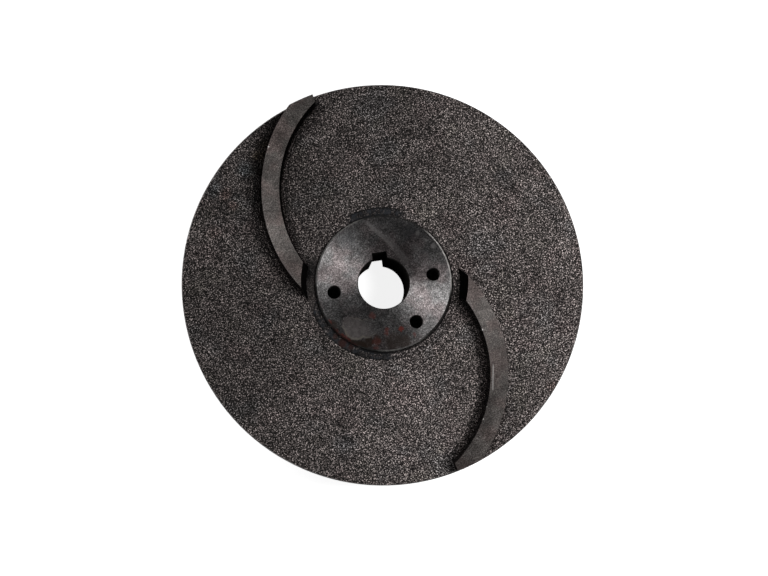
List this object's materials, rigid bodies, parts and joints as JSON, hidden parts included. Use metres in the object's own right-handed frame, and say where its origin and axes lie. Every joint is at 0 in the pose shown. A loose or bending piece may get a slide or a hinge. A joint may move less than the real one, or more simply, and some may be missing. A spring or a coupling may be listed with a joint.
{
  "type": "pump impeller",
  "caption": "Semi-open cast pump impeller: flat round shroud, long curved vanes on its front, keyed bore through the hub and tapped holes in the hub's face.",
  "frame": {"origin": "on the shaft axis at the hub's rear face, on which the part rests", "axes": "+Z along the shaft axis towards the vanes, +X towards one of the tapped holes, the key slot close to +Y"},
  "size_m": [0.2, 0.2, 0.055],
  "materials": {
    "cast_iron": "as cast with a sharp sparkling grain, oiled; hub face, vane tops, rim and bore machined"
  },
  "bodies": {
    "root": {"impeller": "cast_iron"}
  },
  "joints": []
}
